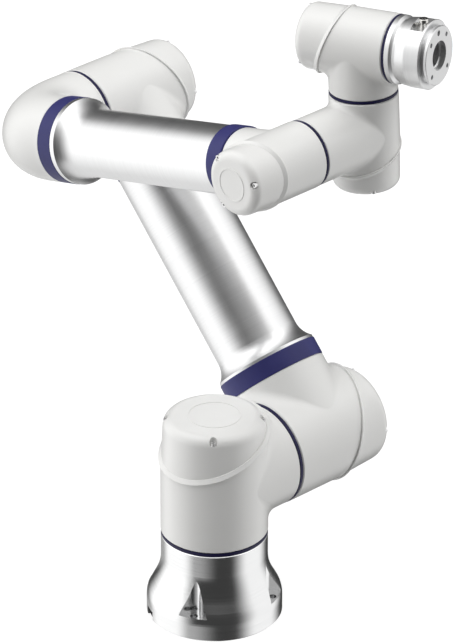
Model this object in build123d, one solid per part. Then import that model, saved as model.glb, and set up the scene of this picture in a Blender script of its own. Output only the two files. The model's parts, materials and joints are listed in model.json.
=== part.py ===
from build123d import *
from dataclasses import dataclass, replace
from math import acos, cos, radians, sin, sqrt, tan
import os

# Six-axis collaborative robot arm, in millimetres and degrees, +Z up.
# Origin: centre of the base's foot, on the axis of joint 1.
# Joint 1 turns about Z. Joints 2, 3 and 4 turn about Y. The arm stands in the pose
# given by the rest angles below.

os.makedirs("parts", exist_ok=True)

# ---------------------------------------------------------------- driving dimensions

SHOULDER_HEIGHT = 162.5  # joint 2 axis above the foot
ARM_OFFSET = 140.0  # upper arm's centre plane from the joint 1 axis, along Y
UPPER_ARM = 425.0  # joint 2 axis to joint 3 axis
FOREARM_OFFSET = 2.2  # forearm's centre plane from the joint 1 axis, along Y
FOREARM = 392.0  # joint 3 axis to joint 4 axis
WRIST_OFFSET = 133.3  # joint 5 axis from the joint 1 axis, along Y
WRIST_RISE = 96.6  # joint 4 axis to joint 6 axis, along the joint 5 axis
FLANGE_REACH = 90.0  # joint 5 axis to the tool flange's face

UPPER_TILT = 43.1  # upper arm leans back from the vertical
FOREARM_RISE = 14.0  # forearm rises towards the wrist
WRIST_LEAN = 3.4  # joint 5 axis leans back from the vertical
TOOL_TURN = 17.6  # tool axis turned about the joint 5 axis, towards +Y

BAND_WIDTH = 20.0  # the four wide bands at the tubes' ends
GAP = 0.5  # running gap between a seal ring and the housing that turns on it


@dataclass(frozen=True)
class Drive:
    """Sizes of one joint module. A module's own Z runs towards its cap."""

    radius: float  # outside of the barrel
    wall: float  # casting wall
    ring: float  # seal ring's width
    tilt: float  # slant of the cap's seam
    cap_end: float  # cap's end face
    cap_edge: float  # rounding round the cap's end
    taper: float  # how much slimmer the cap is at its end
    lip: float  # how far the cap's rim stands proud along the seam
    corner: float  # fillet where the outlet meets the barrel
    pocket: float  # radius of the screw pockets in the cap
    pocket_inset: float  # pockets' centres from the barrel's outside
    pocket_depth: float  # pockets' floor below the cap's end
    screws: tuple  # cap screws, in degrees round the axis from the outlet
    ring_at: float = 0.0  # seal ring's middle, below the crossing of barrel and outlet
    seam: float = 0.0  # slanted seam, above that crossing on the module's axis

    @property
    def bore(self):
        return self.radius - self.wall

    @property
    def outlet(self):
        return self.radius - 0.6

    @property
    def foot(self):
        """Where the barrel starts, at the seal ring's edge."""
        return -self.ring_at + self.ring / 2

    @property
    def scale(self):
        return self.radius / 58.5


FOUR_SCREWS = (45, 135, 225, 315)
THREE_SCREWS = (50, 183, 302)
BIG = Drive(58.5, 5.0, 4.5, 22.0, 77.0, 12.0, 3.4, 2.2, 14.0, 4.2, 6.0, 8.5, FOUR_SCREWS)
MIDDLE = Drive(49.0, 4.5, 4.0, 21.0, 73.5, 11.0, 3.0, 1.9, 12.0, 4.0, 5.5, 7.5, FOUR_SCREWS)
SMALL = Drive(37.0, 4.0, 3.5, 21.5, 63.8, 9.5, 1.6, 1.5, 9.0, 3.7, 5.0, 5.5, THREE_SCREWS)
DRIVES = {
    1: replace(BIG, ring_at=64.0, seam=43.0),
    2: replace(BIG, ring_at=63.4, seam=40.0),
    3: replace(MIDDLE, ring_at=61.7, seam=37.0),
    4: replace(SMALL, ring_at=40.5, seam=33.5),
    5: replace(SMALL, ring_at=43.1, seam=27.0),
    6: replace(SMALL, ring_at=41.8, seam=28.7),
}

EDGE = 1.1  # chamfer on the housings' ends
RIM_HEIGHT, RIM_FLARE = 4.4, 3.4  # raised rim of a cap along its seam
CAP_WALL = 3.5
SCREW_HEAD, SCREW_HEAD_HEIGHT, SCREW_SHANK, SCREW_KEY = 2.75, 3.0, 1.5, 1.4
SCREW_GRIP = 10.0  # how far a cap screw reaches into the housing

BASE_RADIUS, NECK_RADIUS = 74.2, 58.3
BASE_BOLT_CIRCLE, BASE_BOLT_HOLE = 134.0, 4.25
POCKET_FLOOR = 26.0  # floor of the base's bolt pockets
POCKET_AZIMUTH = 26.8  # first of the four pockets, from +X
POCKET_ROOT = 8.4  # rounded back of a pocket
POCKET_FLANK = 45.0  # each flank's angle from the radial direction

CABLE_NOTCH_AZIMUTH = -116.0
NOTCH_WIDTH, NOTCH_HEIGHT = 17.0, 11.0

FLANGE_DRUM, FLANGE_PILOT, FLANGE_BORE, FLANGE_BOLT_CIRCLE = 37.0, 31.5, 15.75, 50.0
FLANGE_THREAD, FLANGE_DOWEL = 2.5, 3.0
BORE_DEPTH, FLANGE_WALL, FLANGE_HOLE = 7.0, 7.0, 14.0  # centring bore, wall behind it, hole through it
PAD_HEIGHT, PAD_FROM, PAD_TO = 32.0, 66.0, 81.0  # flat for the tool connector
SOCKET_AT, SOCKET_SIDE, SOCKET_RADIUS, SOCKET_TOP = 75.4, 4.7, 5.0, 41.0
FITTING_AT, FITTING_SIDE, FITTING_RADIUS, FITTING_TOP = 68.2, 6.5, 2.1, 35.4

UPPER_TUBE, FOREARM_TUBE, TUBE_WALL = 48.5, 36.8, 4.0
UPPER_FLARE, UPPER_LIP, UPPER_ARC = 57.6, 3.0, 27.0  # radius, rim's length and hollow of the flare
FOREARM_FLARE, FOREARM_LIP, FOREARM_ARC = 46.8, 6.0, 40.0
LOWER_BAND_AT = 70.0  # joint 2 axis to the lower band's near face
UPPER_BAND_AT = 62.0  # joint 3 axis to the upper band's near face
REAR_BAND_AT, REAR_BAND_RADIUS = 66.5, 47.2
FRONT_BAND_AT, FRONT_BAND_RADIUS = 46.2, 38.2
BEND_ARC = 42.0  # elbow bend: centre line's radius
BEND_CORNER = 8.0  # elbow bend: rounding in its inner corner
BEND_STATIONS = (15, 30, 45, 60, 75)

# ---------------------------------------------------------------- places of the modules

LEAN = radians(WRIST_LEAN)
TURN = radians(TOOL_TURN)
ALONG_UPPER = Vector(-sin(radians(UPPER_TILT)), 0, cos(radians(UPPER_TILT)))
ALONG_FOREARM = Vector(cos(radians(FOREARM_RISE)), 0, sin(radians(FOREARM_RISE)))
WRIST_UP = Vector(-sin(LEAN), 0, cos(LEAN))
WRIST_FORWARD = Vector(cos(LEAN), 0, sin(LEAN))
SIDE = Vector(0, 1, 0)
UP = Vector(0, 0, 1)
TOOL_AXIS = WRIST_FORWARD * cos(TURN) + SIDE * sin(TURN)

SHOULDER = UP * SHOULDER_HEIGHT
ELBOW = SHOULDER + ALONG_UPPER * UPPER_ARM
WRIST_1 = ELBOW + ALONG_FOREARM * FOREARM
WRIST_2 = WRIST_1 + SIDE * WRIST_OFFSET
WRIST_3 = WRIST_2 + WRIST_UP * WRIST_RISE

# Local Z points at each module's cap, local X out of its outlet
MODULES = {
    1: Plane(SHOULDER, x_dir=SIDE, z_dir=UP),
    2: Plane(SHOULDER + SIDE * ARM_OFFSET, x_dir=ALONG_UPPER, z_dir=SIDE),
    3: Plane(ELBOW + SIDE * ARM_OFFSET, x_dir=-ALONG_UPPER, z_dir=SIDE),
    4: Plane(WRIST_1 + SIDE * FOREARM_OFFSET, x_dir=-ALONG_FOREARM, z_dir=-SIDE),
    5: Plane(WRIST_2, x_dir=-SIDE, z_dir=-WRIST_UP),
    6: Plane(WRIST_3, x_dir=-WRIST_UP, z_dir=-TOOL_AXIS),
}
UPPER_ARM_LINE = Plane(SHOULDER + SIDE * ARM_OFFSET, x_dir=SIDE, z_dir=ALONG_UPPER)
FOREARM_LINE = Plane(ELBOW + SIDE * FOREARM_OFFSET, x_dir=SIDE, z_dir=ALONG_FOREARM)
ELBOW_BEND = Plane(ELBOW + SIDE * FOREARM_OFFSET, x_dir=ALONG_FOREARM, z_dir=SIDE)
TOOL_LINE = Plane(WRIST_3, x_dir=WRIST_UP, z_dir=TOOL_AXIS)

# ---------------------------------------------------------------- small helpers

BOTTOM = (Align.CENTER, Align.CENTER, Align.MIN)
ALONG_X = Plane(origin=(0, 0, 0), x_dir=(0, 1, 0), z_dir=(1, 0, 0))
FAR = 300.0  # longer than any module


def rod(radius, low, high):
    """Solid cylinder on the local Z axis."""
    return Pos(0, 0, low) * Cylinder(radius, high - low, align=BOTTOM)


def ring(outer, inner, low, high):
    """Hollow cylinder on the local Z axis."""
    return rod(outer, low, high) - rod(inner, low, high)


def turned(*points):
    """Solid of revolution about Z from (radius, height) points."""
    return revolve(make_face(Plane.XZ * Polyline(*points, close=True)), Axis.Z)


def rims(solid, radius, height):
    """Circular edges about Z with this radius at this height."""
    found = []
    for edge in solid.edges().filter_by(GeomType.CIRCLE):
        centre = edge.arc_center
        on_axis = abs(centre.X) < 0.01 and abs(centre.Y) < 0.01
        if on_axis and abs(centre.Z - height) < 0.01 and abs(edge.radius - radius) < 0.01:
            found.append(edge)
    return found


def around(angle, distance):
    """Place at a polar position, local X pointing outwards."""
    return Rot(0, 0, angle) * Pos(distance, 0, 0)


def save(name, shape, place=None):
    """Write one sub-part in the arm's frame."""
    export_step(place.location * shape if place else shape, f"parts/{name}.step")


# ---------------------------------------------------------------- joint modules


def seam_plane(drive, lift=0.0):
    """Slanted plane between housing and cap, rising towards the outlet."""
    angle = radians(drive.tilt)
    normal = Vector(-sin(angle), 0, cos(angle))
    return Plane(Vector(0, 0, drive.seam) + normal * lift, x_dir=(cos(angle), 0, sin(angle)), z_dir=normal)


def seam_height(drive, angle):
    """Height of the seam plane at a cap screw."""
    return drive.seam + screw_circle(drive) * cos(radians(angle)) * tan(radians(drive.tilt))


def screw_circle(drive):
    return drive.radius - drive.pocket_inset


def pocket_floor(drive):
    return drive.cap_end - drive.pocket_depth


def housing(drive, outlet_end, end_wall=0.0):
    """Hollow barrel with a side outlet, cut off at the slanted seam.

    An end wall with a cable hole closes the outlet where the next joint bolts on.
    """
    outlet = rod(drive.outlet, 0, outlet_end)
    outlet = chamfer(rims(outlet, drive.outlet, outlet_end), EDGE)
    shell = rod(drive.radius, -FAR, FAR) + ALONG_X * outlet
    crossing = [e for e in shell.edges() if e.geom_type not in (GeomType.CIRCLE, GeomType.LINE)]
    shell = fillet(crossing, drive.corner)
    shell = shell & Pos(0, 0, drive.foot) * Box(2 * FAR, 2 * FAR, FAR, align=BOTTOM)
    shell = split(shell, bisect_by=seam_plane(drive), keep=Keep.BOTTOM)
    seam_rim = [e for e in shell.edges() if e.geom_type == GeomType.ELLIPSE]
    shell = chamfer(seam_rim, 0.6)
    shell = chamfer(rims(shell, drive.radius, drive.foot), EDGE)
    shell -= rod(drive.bore, drive.foot - 1, FAR)
    shell -= ALONG_X * rod(drive.outlet - drive.wall, 0, outlet_end - end_wall)
    if end_wall:
        shell -= ALONG_X * rod(15 * drive.scale, 0, outlet_end + 1)
    for angle in drive.screws:
        top = seam_height(drive, angle)
        place = around(angle, screw_circle(drive))
        boss = place * rod(drive.pocket + 1.2, top - SCREW_GRIP - 4, FAR)
        boss = split(boss & rod(drive.radius - 1, -FAR, FAR), bisect_by=seam_plane(drive), keep=Keep.BOTTOM)
        shell = shell + boss - place * rod(SCREW_SHANK, top - SCREW_GRIP, FAR)
    return shell


def cap_form(drive, inset=0.0):
    """Outside of a cap, or its inside when inset: a slight taper and a rounded end."""
    foot, tip, end = drive.radius - 0.4 - inset, drive.radius - drive.taper - inset, drive.cap_end - inset
    low = drive.seam - drive.radius * tan(radians(drive.tilt))
    form = turned((0, -FAR), (foot, -FAR), (foot, low), (tip, end), (0, end))
    return fillet(rims(form, tip, end), drive.cap_edge - inset)


def cap_rim(drive):
    """Solid slice along the seam that flares out from the cap."""
    rim = rod(drive.radius + drive.lip, -FAR, FAR)
    rim = split(rim, bisect_by=seam_plane(drive), keep=Keep.TOP)
    rim = split(rim, bisect_by=seam_plane(drive, RIM_HEIGHT), keep=Keep.BOTTOM)
    upper_face = rim.faces().filter_by(GeomType.PLANE).sort_by(Axis.Z)[-1]
    rim = chamfer(upper_face.edges(), drive.lip + 0.6, RIM_FLARE, reference=upper_face)
    lower_face = rim.faces().filter_by(GeomType.PLANE).sort_by(Axis.Z)[0]
    return fillet(lower_face.edges(), 0.5)


def cap(drive):
    """End cap: slanted open side with a raised rim, rounded end, plain ring emboss."""
    body = split(cap_form(drive), bisect_by=seam_plane(drive), keep=Keep.TOP)
    shell = body + cap_rim(drive) - cap_form(drive, CAP_WALL)
    emboss = 0.5 * drive.radius
    shell += ring(emboss, emboss - 1.6, drive.cap_end - 0.5, drive.cap_end + 0.5)
    for angle in drive.screws:
        place = around(angle, screw_circle(drive))
        column = place * rod(drive.pocket + 2, -FAR, FAR) & body
        shell = shell + column - place * rod(drive.pocket, pocket_floor(drive), FAR)
        shell -= place * rod(SCREW_SHANK + 0.2, -FAR, FAR)
    return shell


def cap_screws(drive):
    """Socket head screws from the cap's pockets into the housing's bosses."""
    seat = pocket_floor(drive)
    screws = []
    for angle in drive.screws:
        tip = seam_height(drive, angle) - SCREW_GRIP
        screw = rod(SCREW_HEAD, seat, seat + SCREW_HEAD_HEIGHT) + rod(SCREW_SHANK, tip, seat)
        key = extrude(RegularPolygon(SCREW_KEY, 6), SCREW_HEAD_HEIGHT)
        screw -= Pos(0, 0, seat + 1.2) * key
        screws.append(around(angle, screw_circle(drive)) * screw)
    return screws


def seal_ring(drive):
    """Thin ring between two housings, bolted to the driven flange's side."""
    low, high = drive.foot - drive.ring, drive.foot - GAP
    outer = drive.radius - 0.4
    body = rod(outer, low, high)
    body = fillet(rims(body, outer, low) + rims(body, outer, high), 0.5)
    return body - rod(drive.bore + 0.2, low, high)


def strain_gear(drive):
    """Stator, rotor, circular spline and flexible spline of one joint module."""
    k = drive.scale
    base = drive.foot - drive.ring
    bearing = drive.bore - 9 * k  # cross roller bearing's inner ring
    flex = bearing - 12 * k  # flexible spline's toothed wall
    air = flex + 2 * k  # stator's inside
    hole = 11 * k
    stator = ring(drive.bore, air, base + 31 * k, base + 46 * k)
    stator += ring(drive.bore - 5 * k, air + 3 * k, base + 27 * k, base + 50 * k)
    rotor = ring(hole, hole - 3 * k, base + 9 * k, base + 58 * k)
    rotor += ring(air - 0.6, hole, base + 31 * k, base + 46 * k)
    rotor -= ring(air - 8 * k, hole + 3 * k, base + 36 * k, base + 46 * k)
    generator = extrude(Ellipse(flex - 2 * k - 0.5, flex - 2 * k - 1.7), 6 * k)
    rotor += Pos(0, 0, base + 16 * k) * generator - rod(hole, base, base + 40 * k)
    circular = turned(
        (drive.bore, drive.foot + 0.5),
        (bearing + 0.5, drive.foot + 0.5),
        (bearing + 0.5, base + 16 * k),
        (flex + 0.5, base + 16 * k),
        (flex + 0.5, base + 23 * k),
        (drive.bore, base + 23 * k),
    )
    flexible = turned(
        (14 * k, base),
        (bearing, base),
        (bearing, base + 14 * k),
        (bearing - 6 * k, base + 14 * k),
        (bearing - 6 * k, base + 5 * k),
        (flex, base + 5 * k),
        (flex, base + 23 * k),
        (flex - 2 * k, base + 23 * k),
        (flex - 2 * k, base + 5 * k),
        (14 * k, base + 5 * k),
    )
    return {"stator": stator, "rotor": rotor, "circular_spline": circular, "flexible_spline": flexible}


# ---------------------------------------------------------------- base


def bolt_pocket():
    """Upright V-shaped pocket with a rounded back, in the frame of its own azimuth."""
    middle = BASE_BOLT_CIRCLE / 2
    flank = radians(POCKET_FLANK)
    root = middle - POCKET_ROOT / sin(flank)
    touch = (middle - POCKET_ROOT * sin(flank), POCKET_ROOT * cos(flank))
    mouth = (root + 40, 40 * tan(flank))
    outline = Polyline(touch, mouth, (mouth[0], -mouth[1]), (touch[0], -touch[1]))
    back = ThreePointArc((touch[0], -touch[1]), (middle - POCKET_ROOT, 0), touch)
    wedge = extrude(make_face(outline + back), 100)
    return Pos(0, 0, POCKET_FLOOR) * wedge


def base_pedestal():
    """Turned foot: neck, flare, four bolt pockets, closed top for joint 1's flange."""
    top = SHOULDER_HEIGHT + DRIVES[1].foot - BIG.ring
    flare_low, flare_high = 25.2, 54.5
    foot, neck = [(BASE_RADIUS, 0), (BASE_RADIUS, flare_low)], [(NECK_RADIUS, flare_high), (NECK_RADIUS, top)]
    body = turned((0, 0), *foot, *neck, (0, top))
    body = fillet(rims(body, BASE_RADIUS, flare_low), 30)
    body = fillet(rims(body, NECK_RADIUS, flare_high), 60)
    body = chamfer(rims(body, NECK_RADIUS, top) + rims(body, BASE_RADIUS, 0), 1.0)
    body -= rod(52.5, -1, top - 9)
    body -= rod(15, 0, top + 1)
    for index in range(4):
        azimuth = POCKET_AZIMUTH + 90 * index
        body -= Rot(0, 0, azimuth) * bolt_pocket()
        body -= around(azimuth, BASE_BOLT_CIRCLE / 2) * rod(BASE_BOLT_HOLE, -1, POCKET_FLOOR + 1)
    return body - Rot(0, 0, CABLE_NOTCH_AZIMUTH) * cable_notch(0)


def cable_notch(inset):
    """Slot under the foot's edge for the controller cable."""
    width = NOTCH_WIDTH - 2 * inset
    return Pos(48, 0, inset) * Box(40, width, NOTCH_HEIGHT - 2 * inset, align=(Align.MIN, Align.CENTER, Align.MIN))


def cable_grommet():
    """Rubber liner in the cable slot, open through the middle."""
    liner = cable_notch(0) & ring(BASE_RADIUS - 3, BASE_RADIUS - 20, 0, 40)
    liner -= cable_notch(2.2)
    return Rot(0, 0, CABLE_NOTCH_AZIMUTH) * liner


# ---------------------------------------------------------------- arm links


def band(radius, bore, low):
    """Wide coloured band between a housing and a tube."""
    body = rod(radius, low, low + BAND_WIDTH)
    body = fillet(rims(body, radius, low) + rims(body, radius, low + BAND_WIDTH), 0.6)
    return body - rod(bore, low, low + BAND_WIDTH)


def flared_tube(radius, flare, lip, arc, low, high):
    """Brushed tube with a rim and a bell-shaped flare at its lower end."""
    bend = acos(1 - (flare - radius) / arc)
    inner, flare_end = radius - TUBE_WALL, low + lip + arc * sin(bend)
    start, end = (flare, low + lip), (radius, flare_end)
    middle = (radius + arc - arc * cos(bend / 2), flare_end - arc * sin(bend / 2))
    outline = Polyline((inner, low), (flare, low), start) + ThreePointArc(start, middle, end)
    outline += Polyline(end, (radius, high), (inner, high), (inner, low))
    return revolve(make_face(Plane.XZ * outline), Axis.Z)


def bend_form(top, inset=0.0):
    """Outside of the elbow bend, or its inside when inset.

    Round ends, and oval sections that fan out about the centre of the inner corner's
    rounding and reach the arc of the bend's outside.
    """
    side = MIDDLE.radius - 0.4
    pivot = side + BEND_CORNER
    offset = pivot - BEND_ARC
    up, out = Vector(0, 0, 1), Vector(1, 0, 0)
    sections = [Plane((0, 0, height), x_dir=-out, z_dir=-up) * Circle(side - inset) for height in (top, pivot)]
    for angle in BEND_STATIONS:
        turn = radians(angle)
        half_width = side - (side - REAR_BAND_RADIUS) * angle / 90
        spoke = -cos(turn) * out - sin(turn) * up
        shift = offset * (cos(turn) + sin(turn))
        reach = shift + sqrt(shift**2 + (BEND_ARC + half_width) ** 2 - 2 * offset**2)
        middle = Vector(pivot, 0, pivot) + spoke * (reach + BEND_CORNER) / 2
        place = Plane(middle, x_dir=spoke, z_dir=sin(turn) * out - cos(turn) * up)
        sections.append(place * Ellipse((reach - BEND_CORNER) / 2 - inset, half_width - inset))
    for distance in (pivot, REAR_BAND_AT):
        sections.append(Plane((distance, 0, 0), x_dir=-up, z_dir=out) * Circle(REAR_BAND_RADIUS - inset))
    return loft(sections)


def elbow_bend_housing():
    """Hollow quarter bend from joint 3's ring to the forearm's rear band."""
    top = ARM_OFFSET - FOREARM_OFFSET + DRIVES[3].foot - MIDDLE.ring
    collar, end_wall = 3.0, 8.0
    end = rod(MIDDLE.radius, top - collar, top)
    end = chamfer(rims(end, MIDDLE.radius, top), EDGE)
    body = bend_form(top - collar) + end - bend_form(top - end_wall, MIDDLE.wall)
    return body - rod(15 * MIDDLE.scale, top - 20, top + 1)


# ---------------------------------------------------------------- tool flange


def tool_flange():
    """Waisted drum with a bolt face: pilot, centring bore, four threads and a dowel hole."""
    start = SMALL.ring - DRIVES[6].foot
    body = turned(
        (FLANGE_HOLE, start),
        (FLANGE_DRUM - 0.4, start),
        (FLANGE_DRUM - 0.4, 48.5),
        (33.6, 51.2),
        (33.6, 54.2),
        (35.6, 55.3),
        (FLANGE_DRUM, 66.0),
        (FLANGE_DRUM, 82.6),
        (FLANGE_DRUM - 0.6, 83.2),
        (29.5, 83.2),
        (29.5, 87.0),
        (FLANGE_PILOT, 87.0),
        (FLANGE_PILOT, FLANGE_REACH - 0.5),
        (FLANGE_PILOT - 0.5, FLANGE_REACH),
        (FLANGE_HOLE, FLANGE_REACH),
    )
    body -= rod(FLANGE_BORE, FLANGE_REACH - BORE_DEPTH, FLANGE_REACH + 1)
    body -= rod(24, start + 3, FLANGE_REACH - BORE_DEPTH - FLANGE_WALL)
    for index in range(4):
        place = around(45 + 90 * index, FLANGE_BOLT_CIRCLE / 2)
        body -= place * rod(FLANGE_THREAD, FLANGE_REACH - 10, FLANGE_REACH + 1)
    body -= around(0, FLANGE_BOLT_CIRCLE / 2) * rod(FLANGE_DOWEL, FLANGE_REACH - 6, FLANGE_REACH + 1)
    flat = Box(20, 2 * FLANGE_DRUM, PAD_TO - PAD_FROM, align=(Align.MIN, Align.CENTER, Align.MIN))
    return body - Pos(PAD_HEIGHT, 0, PAD_FROM) * flat


def on_pad(along, side):
    """Place on the flange's flat, local Z away from the tool axis."""
    return Plane(origin=(PAD_HEIGHT, side, along), x_dir=(0, 1, 0), z_dir=(1, 0, 0))


def tool_socket():
    """Round connector that stands out of the flange's flat."""
    height, wall, floor = SOCKET_TOP - PAD_HEIGHT, 1.1, 3.0
    body = rod(SOCKET_RADIUS, 0, height)
    body = chamfer(rims(body, SOCKET_RADIUS, height), 0.5) - rod(SOCKET_RADIUS - wall, floor, height)
    return on_pad(SOCKET_AT, SOCKET_SIDE) * body


def tool_fitting():
    """Small screwed plug beside the connector."""
    height = FITTING_TOP - PAD_HEIGHT
    body = rod(FITTING_RADIUS, 0, height)
    body = chamfer(rims(body, FITTING_RADIUS, height), 0.4)
    slot = Pos(0, 0, height) * Box(2 * FITTING_RADIUS, 0.7, 1.6)
    return on_pad(FITTING_AT, FITTING_SIDE) * (body - slot)


# ---------------------------------------------------------------- write the sub-parts

save("base_pedestal", base_pedestal())
save("cable_grommet", cable_grommet())

SHOULDER_REACH = ARM_OFFSET + DRIVES[2].foot - BIG.ring
WRIST_1_REACH = WRIST_OFFSET - FOREARM_OFFSET + DRIVES[4].foot - SMALL.ring
WRIST_2_REACH = WRIST_RISE + DRIVES[5].foot - SMALL.ring
save("shoulder_housing", housing(DRIVES[1], SHOULDER_REACH, 8), MODULES[1])
save("upper_arm_lower_housing", housing(DRIVES[2], LOWER_BAND_AT), MODULES[2])
save("elbow_housing", housing(DRIVES[3], UPPER_BAND_AT), MODULES[3])
save("elbow_bend_housing", elbow_bend_housing(), ELBOW_BEND)
save("wrist_1_housing", housing(DRIVES[4], FRONT_BAND_AT), MODULES[4])
save("wrist_2_housing", housing(DRIVES[5], WRIST_1_REACH, 6), MODULES[5])
save("wrist_3_housing", housing(DRIVES[6], WRIST_2_REACH, 6), MODULES[6])

CAP_NAMES = ("shoulder_cap", "upper_arm_lower_cap", "elbow_cap", "wrist_1_cap", "wrist_2_cap", "wrist_3_cap")
SCREW_NAMES = {
    "shoulder_cap_screws": (1,),
    "upper_arm_cap_screws": (2, 3),
    "wrist_1_cap_screws": (4,),
    "wrist_2_cap_screws": (5,),
    "wrist_3_cap_screws": (6,),
}
for joint, name in enumerate(CAP_NAMES, start=1):
    save(name, cap(DRIVES[joint]), MODULES[joint])
for name, joints in SCREW_NAMES.items():
    screws = [MODULES[joint].location * screw for joint in joints for screw in cap_screws(DRIVES[joint])]
    save(name, Compound(children=screws))
for joint, module in MODULES.items():
    save(f"joint_{joint}_seal_ring", seal_ring(DRIVES[joint]), module)
    for piece, shape in strain_gear(DRIVES[joint]).items():
        save(f"joint_{joint}_{piece}", shape, module)

upper_tube_low, upper_tube_high = LOWER_BAND_AT + BAND_WIDTH, UPPER_ARM - UPPER_BAND_AT - BAND_WIDTH
upper_tube = flared_tube(UPPER_TUBE, UPPER_FLARE, UPPER_LIP, UPPER_ARC, upper_tube_low, upper_tube_high)
save("upper_arm_tube", upper_tube, UPPER_ARM_LINE)
save("lower_band", band(BIG.radius - 0.2, BIG.bore, LOWER_BAND_AT), UPPER_ARM_LINE)
save("upper_band", band(MIDDLE.radius, UPPER_TUBE - TUBE_WALL, upper_tube_high), UPPER_ARM_LINE)

forearm_low, forearm_high = REAR_BAND_AT + BAND_WIDTH, FOREARM - FRONT_BAND_AT - BAND_WIDTH
forearm_tube = flared_tube(FOREARM_TUBE, FOREARM_FLARE, FOREARM_LIP, FOREARM_ARC, forearm_low, forearm_high)
save("forearm_tube", forearm_tube, FOREARM_LINE)
save("rear_band", band(REAR_BAND_RADIUS, FOREARM_TUBE - TUBE_WALL, REAR_BAND_AT), FOREARM_LINE)
save("front_band", band(FRONT_BAND_RADIUS, FOREARM_TUBE - TUBE_WALL, forearm_high), FOREARM_LINE)

save("tool_flange", tool_flange(), TOOL_LINE)
save("tool_socket", tool_socket(), TOOL_LINE)
save("tool_fitting", tool_fitting(), TOOL_LINE)
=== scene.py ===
import json
from math import cos, pi, radians, sin

import bmesh
import bpy
from mathutils import Matrix, Vector


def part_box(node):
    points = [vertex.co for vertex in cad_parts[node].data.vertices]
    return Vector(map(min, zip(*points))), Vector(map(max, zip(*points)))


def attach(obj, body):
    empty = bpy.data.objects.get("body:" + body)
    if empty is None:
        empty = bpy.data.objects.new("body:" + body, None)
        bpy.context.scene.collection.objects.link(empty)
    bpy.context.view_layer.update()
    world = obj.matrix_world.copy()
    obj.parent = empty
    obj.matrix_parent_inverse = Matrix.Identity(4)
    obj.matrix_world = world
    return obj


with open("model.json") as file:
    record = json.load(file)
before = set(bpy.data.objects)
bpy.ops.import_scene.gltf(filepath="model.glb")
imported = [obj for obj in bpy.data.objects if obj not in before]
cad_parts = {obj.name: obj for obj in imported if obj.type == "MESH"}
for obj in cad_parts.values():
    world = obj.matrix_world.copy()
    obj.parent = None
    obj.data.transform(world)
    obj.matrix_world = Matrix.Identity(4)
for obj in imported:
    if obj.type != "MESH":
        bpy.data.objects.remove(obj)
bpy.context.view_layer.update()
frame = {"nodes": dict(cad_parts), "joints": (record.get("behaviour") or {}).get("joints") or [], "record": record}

# ---------------------------------------------------------------- places, from the frame

JOINTS = {joint["name"]: joint for joint in frame["joints"]}
MOUNTS = {mount["name"]: mount for mount in frame["record"]["mounts"]}
Z = Vector((0, 0, 1))


def joint_point(name):
    return Vector(JOINTS[name]["pos_m"])


def joint_axis(name):
    return Vector(JOINTS[name]["axis"]).normalized()


def middle(node):
    low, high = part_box(node)
    return (low + high) / 2


UPPER_LINE = (joint_point("joint_3") - joint_point("joint_2")).normalized()
FOREARM_LINE = (middle("front_band") - middle("rear_band")).normalized()
WRIST_UP = joint_axis("joint_5")
TOOL_LINE = joint_axis("joint_6")
TOOL_FACE = Vector(MOUNTS["tool_bolts"]["pos_m"])


def place(origin, z_axis, x_axis):
    """Matrix of a local frame with its Z and X along these directions."""
    z_axis = z_axis.normalized()
    y_axis = z_axis.cross(x_axis).normalized()
    x_axis = y_axis.cross(z_axis)
    matrix = Matrix((x_axis, y_axis, z_axis)).transposed().to_4x4()
    matrix.translation = origin
    return matrix


# ---------------------------------------------------------------- shader helpers


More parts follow.
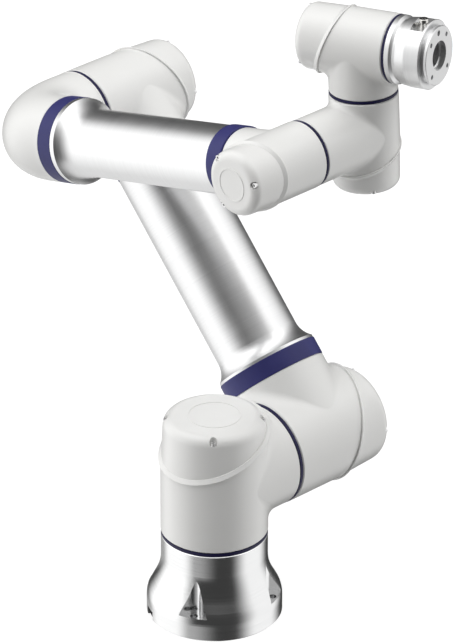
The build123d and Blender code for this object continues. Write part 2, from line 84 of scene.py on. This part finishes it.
class Shader:
    """A node tree with short ways to add and join nodes."""

    def __init__(self, tree):
        self.tree = tree
        tree.nodes.clear()

    def add(self, kind, inputs=None, **settings):
        node = self.tree.nodes.new(kind)
        for name, value in settings.items():
            setattr(node, name, value)
        for name, value in (inputs or {}).items():
            self.set(node, name, value)
        return node

    def set(self, node, name, value):
        if isinstance(value, bpy.types.NodeSocket):
            self.tree.links.new(value, node.inputs[name])
        else:
            node.inputs[name].default_value = value

    def math(self, operation, first, second=0.0):
        return self.add("ShaderNodeMath", {0: first, 1: second}, operation=operation).outputs[0]

    def ramp(self, value, low, high, start=0.0, end=1.0, smooth=False):
        """Value from low..high mapped to start..end, clamped."""
        node = self.add(
            "ShaderNodeMapRange",
            {"Value": value, "From Min": low, "From Max": high, "To Min": start, "To Max": end},
            interpolation_type="SMOOTHSTEP" if smooth else "LINEAR",
        )
        return node.outputs[0]

    def colours(self, value, *stops):
        """Colour ramp through (position, colour) stops."""
        node = self.add("ShaderNodeValToRGB", {"Fac": value})
        elements = node.color_ramp.elements
        while len(elements) < len(stops):
            elements.new(0.5)
        for element, (position, colour) in zip(elements, stops):
            element.position = position
            element.color = (*colour, 1)
        return node.outputs["Color"]

    def noise(self, vector, scale, detail=2.0, roughness=0.5):
        node = self.add(
            "ShaderNodeTexNoise",
            {"Vector": vector, "Scale": scale, "Detail": detail, "Roughness": roughness},
        )
        return node.outputs["Fac"]

    def blend(self, factor, first, second):
        node = self.add("ShaderNodeMix", data_type="RGBA")
        sockets = [socket for socket in node.inputs if socket.enabled]
        for socket, value in zip(sockets, (factor, first, second)):
            if isinstance(value, bpy.types.NodeSocket):
                self.tree.links.new(value, socket)
            else:
                socket.default_value = value if isinstance(value, float) else (*value, 1)
        return next(socket for socket in node.outputs if socket.enabled)

    def bump(self, height, distance, strength=1.0, normal=None):
        inputs = {"Height": height, "Distance": distance, "Strength": strength}
        if normal is not None:
            inputs["Normal"] = normal
        return self.add("ShaderNodeBump", inputs).outputs[0]

    def object_coordinates(self):
        return self.add("ShaderNodeTexCoord").outputs["Object"]

    def along(self, axis, scale):
        """Object coordinates turned so that the axis is Z, then stretched."""
        turn = axis.rotation_difference(Z).to_euler()
        turned = self.add(
            "ShaderNodeMapping", {"Vector": self.object_coordinates(), "Rotation": turn}
        ).outputs[0]
        return self.add("ShaderNodeMapping", {"Vector": turned, "Scale": scale}).outputs[0]

    def surface(self, **inputs):
        """Principled surface with these inputs, joined to the output."""
        shader = self.add("ShaderNodeBsdfPrincipled", inputs)
        output = self.add("ShaderNodeOutputMaterial")
        self.tree.links.new(shader.outputs[0], output.inputs[0])


def new_material(name):
    material = bpy.data.materials.new(name)
    material.use_nodes = True
    return material, Shader(material.node_tree)


# ---------------------------------------------------------------- materials


def paint(name, light, dark, gloss=0.0):
    """Gloss paint on a casting: faint mottle, orange peel and handling marks."""
    material, nodes = new_material(name)
    where = nodes.object_coordinates()
    mottle = nodes.noise(where, 14, 4)
    smudges = nodes.noise(where, 22, 3, 0.5)
    specks = nodes.ramp(nodes.noise(where, 1400, 1), 0.72, 0.80)
    colour = nodes.colours(mottle, (0.30, dark), (0.72, light))
    colour = nodes.blend(nodes.math("MULTIPLY", specks, 0.06), colour, (0.62, 0.61, 0.58))
    roughness = nodes.ramp(smudges, 0.30, 0.75, 0.31 - gloss, 0.36 - gloss)
    peel = nodes.bump(nodes.noise(where, 420, 2), 0.00003)
    grain = nodes.bump(nodes.noise(where, 1900, 2), 0.00001, 1.0, peel)
    nodes.surface(**{
        "Base Color": colour,
        "Roughness": roughness,
        "Normal": grain,
        "Specular IOR Level": 0.5,
        "Coat Weight": 0.35,
        "Coat Roughness": 0.08,
    })
    return material


def turned_metal(name, axis, light, dark, roughness):
    """Aluminium with fine turning marks round an axis, a few deeper ones and faint stains."""
    material, nodes = new_material(name)
    fine = nodes.noise(nodes.along(axis, (14, 14, 2600)), 1, 3, 0.6)
    broad = nodes.noise(nodes.along(axis, (5, 5, 640)), 1, 4, 0.6)
    stains = nodes.noise(nodes.object_coordinates(), 26, 5, 0.6)
    fine_part = nodes.math("MULTIPLY", fine, 0.55)
    broad_part = nodes.math("MULTIPLY", broad, 0.45)
    marks = nodes.math("ADD", fine_part, broad_part)
    colour = nodes.colours(marks, (0.34, dark), (0.64, light))
    colour = nodes.blend(nodes.ramp(stains, 0.58, 0.80, 0.0, 0.25), colour, dark)
    grain = nodes.ramp(marks, 0.35, 0.65, roughness - 0.03, roughness + 0.03)
    rough = nodes.math("ADD", grain, nodes.ramp(stains, 0.45, 0.75, 0.0, 0.04))
    normal = nodes.bump(broad, 0.000004, 1.0, nodes.bump(fine, 0.000003))
    nodes.surface(**{"Base Color": colour, "Metallic": 1.0, "Roughness": rough, "Normal": normal})
    return material


def coloured_plastic(name, light, dark, roughness):
    """Moulded plastic: even colour, fine grain, light rubbing."""
    material, nodes = new_material(name)
    where = nodes.object_coordinates()
    cloud = nodes.noise(where, 30, 4)
    rubbing = nodes.ramp(nodes.noise(where, 160, 5, 0.7), 0.55, 0.80)
    colour = nodes.colours(cloud, (0.30, dark), (0.70, light))
    rough = nodes.ramp(rubbing, 0.0, 1.0, roughness, roughness + 0.14)
    normal = nodes.bump(nodes.noise(where, 1500, 2), 0.00002)
    nodes.surface(**{
        "Base Color": colour,
        "Roughness": rough,
        "Normal": normal,
        "Specular IOR Level": 0.25,
    })
    return material


def steel(name, light, dark, roughness, scale=900):
    """Ground or plated steel with fine scratches and darker specks."""
    material, nodes = new_material(name)
    where = nodes.object_coordinates()
    scratches = nodes.noise(where, scale, 4, 0.7)
    patches = nodes.noise(where, 90, 4)
    colour = nodes.colours(scratches, (0.32, dark), (0.66, light))
    rough = nodes.ramp(patches, 0.3, 0.7, roughness - 0.06, roughness + 0.08)
    normal = nodes.bump(scratches, 0.00001)
    nodes.surface(**{"Base Color": colour, "Metallic": 1.0, "Roughness": rough, "Normal": normal})
    return material


def laminate(name, axis):
    """Stator stack: thin steel sheets with a brown varnish between them."""
    material, nodes = new_material(name)
    sheets = nodes.add(
        "ShaderNodeTexWave",
        {"Vector": nodes.along(axis, (1, 1, 1)), "Scale": 260.0, "Distortion": 0.4, "Detail": 2.0},
        bands_direction="Z",
    ).outputs["Fac"]
    varnish = nodes.noise(nodes.object_coordinates(), 120, 4)
    colour = nodes.colours(sheets, (0.2, (0.20, 0.13, 0.09)), (0.8, (0.46, 0.42, 0.38)))
    colour = nodes.blend(nodes.ramp(varnish, 0.4, 0.8, 0.0, 0.5), colour, (0.30, 0.16, 0.08))
    rough = nodes.ramp(varnish, 0.3, 0.7, 0.35, 0.6)
    normal = nodes.bump(sheets, 0.00008)
    nodes.surface(**{"Base Color": colour, "Metallic": 0.7, "Roughness": rough, "Normal": normal})
    return material


def rubber(name, colour):
    """Moulded rubber with a dusty, slightly pitted skin."""
    material, nodes = new_material(name)
    where = nodes.object_coordinates()
    dust = nodes.ramp(nodes.noise(where, 140, 5, 0.7), 0.45, 0.85, 0.0, 0.35)
    shade = nodes.blend(dust, colour, (0.16, 0.16, 0.155))
    pits = nodes.noise(where, 900, 3)
    rough = nodes.ramp(pits, 0.3, 0.7, 0.6, 0.8)
    nodes.surface(**{"Base Color": shade, "Roughness": rough, "Normal": nodes.bump(pits, 0.00006)})
    return material


WHITE, WARM_WHITE = (0.895, 0.894, 0.882), (0.870, 0.867, 0.852)
ALUMINIUM = (0.84, 0.842, 0.845), (0.77, 0.772, 0.778)

housing_paint = paint("housing_paint", WHITE, WARM_WHITE)
cap_paint = paint("cap_paint", (0.900, 0.899, 0.888), (0.875, 0.872, 0.858), 0.02)
band_blue = coloured_plastic("band_blue", (0.042, 0.043, 0.175), (0.033, 0.034, 0.145), 0.42)
seal_blue = coloured_plastic("seal_blue", (0.014, 0.012, 0.066), (0.010, 0.008, 0.050), 0.42)
base_metal = turned_metal("base_metal", Z, *ALUMINIUM, 0.17)
upper_tube_metal = turned_metal("upper_tube_metal", UPPER_LINE, *ALUMINIUM, 0.32)
forearm_tube_metal = turned_metal("forearm_tube_metal", FOREARM_LINE, *ALUMINIUM, 0.32)
flange_metal = turned_metal("flange_metal", TOOL_LINE, *ALUMINIUM, 0.36)
screw_steel = steel("screw_steel", (0.86, 0.86, 0.86), (0.70, 0.70, 0.70), 0.46)
gear_steel = steel("gear_steel", (0.56, 0.57, 0.59), (0.40, 0.41, 0.43), 0.34, 500)
shaft_steel = steel("shaft_steel", (0.66, 0.66, 0.68), (0.52, 0.52, 0.54), 0.22, 700)
nickel = steel("nickel", (0.78, 0.77, 0.74), (0.60, 0.59, 0.57), 0.16, 1200)
cable_rubber = rubber("cable_rubber", (0.028, 0.028, 0.030))
insert_black = coloured_plastic("insert_black", (0.030, 0.030, 0.032), (0.020, 0.020, 0.022), 0.45)


def material_of(node):
    """Material of a CAD node, by its name."""
    exact = {
        "base_pedestal": base_metal,
        "upper_arm_tube": upper_tube_metal,
        "forearm_tube": forearm_tube_metal,
        "tool_flange": flange_metal,
        "tool_socket": nickel,
        "tool_fitting": nickel,
        "cable_grommet": cable_rubber,
    }
    endings = {
        "_housing": housing_paint,
        "_cap": cap_paint,
        "_band": band_blue,
        "_seal_ring": seal_blue,
        "_cap_screws": screw_steel,
        "_spline": gear_steel,
        "_rotor": shaft_steel,
    }
    if node in exact:
        return exact[node]
    for ending, material in endings.items():
        if node.endswith(ending):
            return material
    return laminate(f"{node}_laminate", joint_axis(node.removesuffix("_stator")))


for name, node in frame["nodes"].items():
    material = material_of(name)
    if not node.material_slots:
        node.data.materials.append(material)
    for slot in node.material_slots:
        slot.material = material

# ---------------------------------------------------------------- new pieces

# Threads start THREAD_START below the bolt face, and stand THREAD_GAP clear of the holes' walls.
FIRST_BOLT_ANGLE = 45
THREAD_PITCH, THREAD_DEPTH, THREAD_TURNS = 0.0010, 0.00032, 7.5
THREAD_HALF_WIDTH = 0.42 * THREAD_PITCH
THREAD_START = 0.0090
THREAD_GAP = 0.00002

# The insert and the pins stand at these depths below the connector's top.
INSERT_DEPTH, INSERT_RADIUS, INSERT_HEIGHT = 0.0058, 0.0037, 0.0034
INSERT_TOP_RADIUS, INSERT_SLOPE, INSERT_BORE = 0.0030, 0.0003, 0.0004
PIN_DEPTH, PIN_RADIUS, PIN_HEIGHT = 0.0024, 0.00032, 0.0014
PIN_TIP_RADIUS, PIN_TIP_HEIGHT, PIN_BORE = 0.00018, 0.0002, 0.00004
OUTER_PINS, PIN_CIRCLE = 7, 0.0021


def new_object(name, mesh, material):
    """Finished bmesh as a named object in the scene."""
    data = bpy.data.meshes.new(name)
    mesh.to_mesh(data)
    mesh.free()
    data.materials.append(material)
    piece = bpy.data.objects.new(name, data)
    bpy.context.scene.collection.objects.link(piece)
    return piece


def add_piece(name, mesh, material, body):
    """New piece of the arm that rides on a CAD body."""
    bmesh.ops.recalc_face_normals(mesh, faces=mesh.faces[:])
    piece = new_object(name, mesh, material)
    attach(piece, body)


def polar(radius, angle, height=0.0):
    """Point at this radius and angle about Z."""
    return Vector((radius * cos(angle), radius * sin(angle), height))


def join_sections(mesh, near, far):
    """Faces between two closed sections with the same number of points."""
    count = len(near)
    for i in range(count):
        j = (i + 1) % count
        mesh.faces.new((near[i], near[j], far[j], far[i]))


def revolve(mesh, profile, matrix, steps):
    """Solid of a closed outline of (radius, height) points turned about the matrix's Z."""
    rings = []
    for step in range(steps):
        angle = 2 * pi * step / steps
        rings.append([mesh.verts.new(matrix @ polar(r, angle, h)) for r, h in profile])
    for step in range(steps):
        join_sections(mesh, rings[step], rings[(step + 1) % steps])


def thread(mesh, matrix, radius, steps=24):
    """Helical ridge on the wall of a hole: a closed ribbon of triangular section."""
    profile = (
        (radius, -THREAD_HALF_WIDTH),
        (radius - THREAD_DEPTH, 0.0),
        (radius, THREAD_HALF_WIDTH),
    )
    sections = []
    for step in range(int(THREAD_TURNS * steps) + 1):
        angle = 2 * pi * step / steps
        rise = THREAD_PITCH * step / steps
        sections.append([mesh.verts.new(matrix @ polar(r, angle, rise + h)) for r, h in profile])
    for near, far in zip(sections, sections[1:]):
        join_sections(mesh, near, far)
    mesh.faces.new(sections[0])
    mesh.faces.new(list(reversed(sections[-1])))


def tool_threads():
    """Threads in the flange's bolt holes."""
    bolts = MOUNTS["tool_bolts"]["dims"]
    circle = bolts["pcd_mm"] / 2000
    wall = bolts["hole_r_mm"] / 1000 - THREAD_GAP
    face = place(TOOL_FACE, TOOL_LINE, WRIST_UP)
    mesh = bmesh.new()
    for index in range(bolts["count"]):
        angle = radians(FIRST_BOLT_ANGLE + 360 / bolts["count"] * index)
        thread(mesh, face @ Matrix.Translation(polar(circle, angle, -THREAD_START)), wall)
    add_piece("tool_flange_threads", mesh, gear_steel, "tool")


def socket_axis():
    """Direction in which the connector stands out of the flange's flat."""
    return WRIST_UP - TOOL_LINE * WRIST_UP.dot(TOOL_LINE)


def socket_place(node, depth):
    """Local frame on a connector's axis, depth below its top."""
    out = socket_axis().normalized()
    centre = middle(node)
    corners = [Vector(v.co) for v in frame["nodes"][node].data.vertices]
    top = max(corner.dot(out) for corner in corners)
    return place(centre + out * (top - centre.dot(out) - depth), out, TOOL_LINE)


def connector_insert():
    """Round insulator inside the connector, sloped at its top edge."""
    top = INSERT_HEIGHT + INSERT_SLOPE
    profile = (
        (INSERT_BORE, 0),
        (INSERT_RADIUS, 0),
        (INSERT_RADIUS, INSERT_HEIGHT),
        (INSERT_TOP_RADIUS, top),
        (INSERT_BORE, top),
    )
    mesh = bmesh.new()
    revolve(mesh, profile, socket_place("tool_socket", INSERT_DEPTH), 40)
    add_piece("tool_socket_insert", mesh, insert_black, "tool")


def connector_pins():
    """Contacts on a circle and one in the middle, with tapered tips."""
    profile = (
        (PIN_BORE, 0),
        (PIN_RADIUS, 0),
        (PIN_RADIUS, PIN_HEIGHT - PIN_TIP_HEIGHT),
        (PIN_TIP_RADIUS, PIN_HEIGHT),
        (PIN_BORE, PIN_HEIGHT),
    )
    spots = [Vector((0, 0, 0))]
    spots += [polar(PIN_CIRCLE, 2 * pi * i / OUTER_PINS) for i in range(OUTER_PINS)]
    base = socket_place("tool_socket", PIN_DEPTH)
    mesh = bmesh.new()
    for spot in spots:
        revolve(mesh, profile, base @ Matrix.Translation(spot), 16)
    add_piece("tool_socket_pins", mesh, nickel, "tool")


tool_threads()
connector_insert()
connector_pins()

# ---------------------------------------------------------------- studio

CAMERA_AZIMUTH, CAMERA_ELEVATION = radians(45.8), radians(28.1)
CAMERA_DISTANCE = 5.711
CAMERA_TARGET = Vector((0, 0.0359, 0.2962))
AIM_LEFT, AIM_UP = 0.0022182, 0.0067298
LENS, SENSOR_HEIGHT = 198.554, 24.0
FLOOR_RADIUS, BACKDROP_RADIUS = 40.0, 39.0


def add_camera():
    """Camera that looks a little to the left of its target and above it."""
    back = Vector((
        sin(CAMERA_AZIMUTH) * cos(CAMERA_ELEVATION),
        -cos(CAMERA_AZIMUTH) * cos(CAMERA_ELEVATION),
        sin(CAMERA_ELEVATION),
    ))
    right = Vector((cos(CAMERA_AZIMUTH), sin(CAMERA_AZIMUTH), 0))
    up = back.cross(right)
    aim = -back - right * AIM_LEFT + up * AIM_UP
    data = bpy.data.cameras.new("camera")
    data.sensor_fit = "VERTICAL"
    data.sensor_height = SENSOR_HEIGHT
    data.lens = LENS
    data.clip_end = 100
    camera = bpy.data.objects.new("camera", data)
    camera.location = CAMERA_TARGET + back * CAMERA_DISTANCE
    camera.rotation_euler = aim.to_track_quat("-Z", "Y").to_euler()
    bpy.context.scene.collection.objects.link(camera)
    bpy.context.scene.camera = camera


SIDE_EDGE, TALL_EDGE = 21, 14
LEFT_STRENGTH, RIGHT_STRENGTH = 1.38, 1.04


def soft_box(nodes, value, low, high, soft):
    """1 between low and high degrees, fading over a soft edge."""
    rise = nodes.ramp(value, radians(low - soft), radians(low + soft), smooth=True)
    fall = nodes.ramp(value, radians(high - soft), radians(high + soft), 1.0, 0.0, smooth=True)
    return nodes.math("MULTIPLY", rise, fall)


def add_studio_light():
    """Soft boxes left and right of the camera, light overhead and low on the left, a dim sky.

    Azimuths and elevations are in degrees from where the camera stands.
    """
    world = bpy.data.worlds.new("studio")
    world.use_nodes = True
    bpy.context.scene.world = world
    nodes = Shader(world.node_tree)
    direction = nodes.add("ShaderNodeTexCoord").outputs["Generated"]
    to_camera = (0, 0, pi / 2 - CAMERA_AZIMUTH)
    facing = nodes.add("ShaderNodeMapping", {"Vector": direction, "Rotation": to_camera})
    parts = nodes.add("ShaderNodeSeparateXYZ", {0: facing.outputs[0]})
    azimuth = nodes.math("ARCTAN2", parts.outputs["Y"], parts.outputs["X"])
    elevation = nodes.math("ARCSINE", parts.outputs["Z"])
    tall = soft_box(nodes, elevation, -76, 66, TALL_EDGE)
    left = nodes.math("MULTIPLY", soft_box(nodes, azimuth, -133, -50, SIDE_EDGE), tall)
    left = nodes.math("MULTIPLY", left, LEFT_STRENGTH)
    sinking = nodes.ramp(elevation, radians(-66), radians(-14), 0.54, 1.0)
    left = nodes.math("MULTIPLY", left, sinking)
    right = nodes.math("MULTIPLY", soft_box(nodes, azimuth, 56, 130, SIDE_EDGE), tall)
    right = nodes.math("MULTIPLY", right, RIGHT_STRENGTH)
    sky = nodes.ramp(elevation, radians(20), radians(54), 0.05, 0.42, smooth=True)
    overhead = nodes.ramp(elevation, radians(44), radians(68), 0.0, 1.05, smooth=True)
    low = nodes.ramp(elevation, radians(-18), radians(-44), 0.0, 0.80, smooth=True)
    leftward = nodes.ramp(azimuth, radians(10), radians(-40), smooth=True)
    low_left = nodes.math("MULTIPLY", low, leftward)
    total = nodes.math("MAXIMUM", left, low_left)
    for part in (right, sky, overhead):
        total = nodes.math("ADD", total, part)
    background = nodes.add("ShaderNodeBackground", {"Color": (1, 1, 0.995, 1), "Strength": total})
    output = nodes.add("ShaderNodeOutputWorld")
    nodes.tree.links.new(background.outputs[0], output.inputs[0])


def camera_only(piece):
    """Stage object that the camera sees, and that neither mirrors in the arm nor shades it."""
    piece.visible_diffuse = False
    piece.visible_glossy = False
    piece.visible_transmission = False
    piece.visible_shadow = False


def add_floor():
    """Plain white floor and a white backdrop far round it."""
    floor_white, nodes = new_material("floor_white")
    cloud = nodes.noise(nodes.object_coordinates(), 3, 2)
    tone = nodes.colours(cloud, (0.0, (0.30, 0.30, 0.30)), (1.0, (0.32, 0.32, 0.32)))
    nodes.surface(**{
        "Base Color": tone,
        "Roughness": 0.9,
        "Emission Color": (1, 1, 1, 1),
        "Emission Strength": 0.80,
    })
    backdrop_white, nodes = new_material("backdrop_white")
    glow = nodes.add("ShaderNodeEmission", {"Color": (1, 1, 1, 1), "Strength": 1.0})
    output = nodes.add("ShaderNodeOutputMaterial")
    nodes.tree.links.new(glow.outputs[0], output.inputs[0])

    circle = bmesh.new()
    bmesh.ops.create_circle(circle, cap_ends=True, radius=FLOOR_RADIUS, segments=64)
    sphere = bmesh.new()
    bmesh.ops.create_uvsphere(sphere, u_segments=48, v_segments=24, radius=BACKDROP_RADIUS)
    camera_only(new_object("floor", circle, floor_white))
    camera_only(new_object("backdrop", sphere, backdrop_white))


add_camera()
add_studio_light()
add_floor()
bpy.context.scene.view_settings.view_transform = "Standard"
